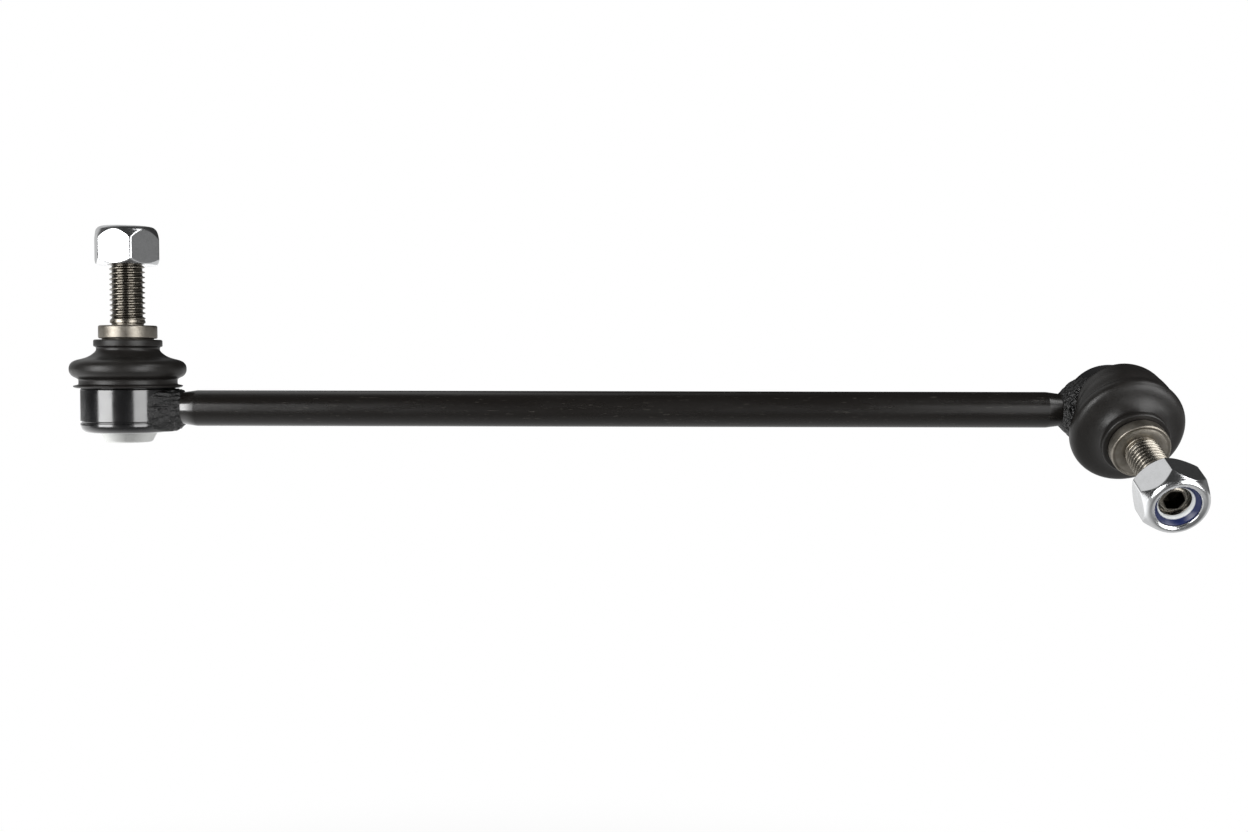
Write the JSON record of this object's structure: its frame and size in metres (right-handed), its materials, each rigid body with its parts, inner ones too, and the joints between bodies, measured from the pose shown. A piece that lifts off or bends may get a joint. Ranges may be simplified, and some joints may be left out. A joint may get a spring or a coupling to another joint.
{
  "type": "anti-roll bar drop link",
  "caption": "Slim round bar with a booted ball joint at each end, threaded studs at right angles to each other, each with a locking nut.",
  "frame": {"origin": "centre of the left stud's collar face, the face that a bracket seats on", "axes": "+Z along the left stud, out of its thread end; +X along the bar, from the left ball joint to the right one; the right ball joint's housing opens along -Y"},
  "size_m": [0.3226, 0.0672, 0.0842],
  "materials": {
    "bar_paint": "semi-gloss black electrocoat on a drawn steel bar",
    "housing_paint": "gloss black electrocoat on pressed steel",
    "weld_metal": "rough weld bead under black paint",
    "zinc_plate": "pale zinc plate, dull",
    "bearing_plastic": "natural acetal",
    "stud_steel": "bronze-grey zinc-nickel with turning marks",
    "boot_rubber": "matte charcoal moulded rubber",
    "ring_steel": "black spring steel",
    "nut_zinc": "bright zinc plate",
    "insert_nylon": "blue nylon"
  },
  "bodies": {
    "link": {"bar": "bar_paint", "left_housing": "housing_paint", "left_weld": "weld_metal", "left_cover_plate": "zinc_plate", "left_ball_seat": "bearing_plastic", "right_housing": "housing_paint", "right_weld": "weld_metal", "right_cover_plate": "zinc_plate", "right_ball_seat": "bearing_plastic"},
    "left_boot": {"left_boot": "boot_rubber", "left_lower_boot_ring": "ring_steel"},
    "left_neck": {"left_upper_boot_ring": "ring_steel"},
    "left_stud": {"left_ball_stud": "stud_steel"},
    "left_insert": {"left_nut_insert": "insert_nylon"},
    "left_nut": {"left_lock_nut": "nut_zinc"},
    "right_boot": {"right_boot": "boot_rubber", "right_lower_boot_ring": "ring_steel"},
    "right_neck": {"right_upper_boot_ring": "ring_steel"},
    "right_stud": {"right_ball_stud": "stud_steel"},
    "right_insert": {"right_nut_insert": "insert_nylon"},
    "right_nut": {"right_lock_nut": "nut_zinc"}
  },
  "joints": [
    {"name": "left_lean_direction", "type": "hinge", "parent": "link", "child": "left_boot", "pos_m": [0, 0, -0.0242], "axis": [0, 0, 1], "continuous": true},
    {"name": "left_lean", "type": "hinge", "parent": "left_boot", "child": "left_neck", "pos_m": [0, 0, -0.0242], "axis": [1, 0, 0], "range_deg": [-28, 28], "deforming": ["left_boot"]},
    {"name": "left_stud_turn", "type": "hinge", "parent": "left_neck", "child": "left_stud", "pos_m": [0, 0, -0.0242], "axis": [0, 0, 1], "continuous": true},
    {"name": "left_nut_travel", "type": "slide", "parent": "left_stud", "child": "left_insert", "axis": [0, 0, 1], "range_m": [-0.01756, 0.02551]},
    {"name": "left_nut_turn", "type": "hinge", "parent": "left_insert", "child": "left_nut", "pos_m": [0, 0, -0.0242], "axis": [0, 0, 1], "range_deg": [-4212, 6120]},
    {"name": "right_lean_direction", "type": "hinge", "parent": "link", "child": "right_boot", "pos_m": [0.29, 0, -0.0242], "axis": [0, -1, 0], "continuous": true},
    {"name": "right_lean", "type": "hinge", "parent": "right_boot", "child": "right_neck", "pos_m": [0.29, 0, -0.0242], "axis": [1, 0, 0], "range_deg": [-54.5, 1.5], "deforming": ["right_boot"]},
    {"name": "right_stud_turn", "type": "hinge", "parent": "right_neck", "child": "right_stud", "pos_m": [0.29, 0, -0.0242], "axis": [0, -0.8949, -0.4462], "continuous": true},
    {"name": "right_nut_travel", "type": "slide", "parent": "right_stud", "child": "right_insert", "axis": [0, -0.8949, -0.4462], "range_m": [-0.01756, 0.02551]},
    {"name": "right_nut_turn", "type": "hinge", "parent": "right_insert", "child": "right_nut", "pos_m": [0.29, 0, -0.0242], "axis": [0, -0.8949, -0.4462], "range_deg": [-4212, 6120]}
  ],
  "couplings": [
    {"joint": "left_nut_travel", "follows": "left_nut_turn", "m_per_rad": 0.00023873},
    {"joint": "right_nut_travel", "follows": "right_nut_turn", "m_per_rad": 0.00023873}
  ]
}
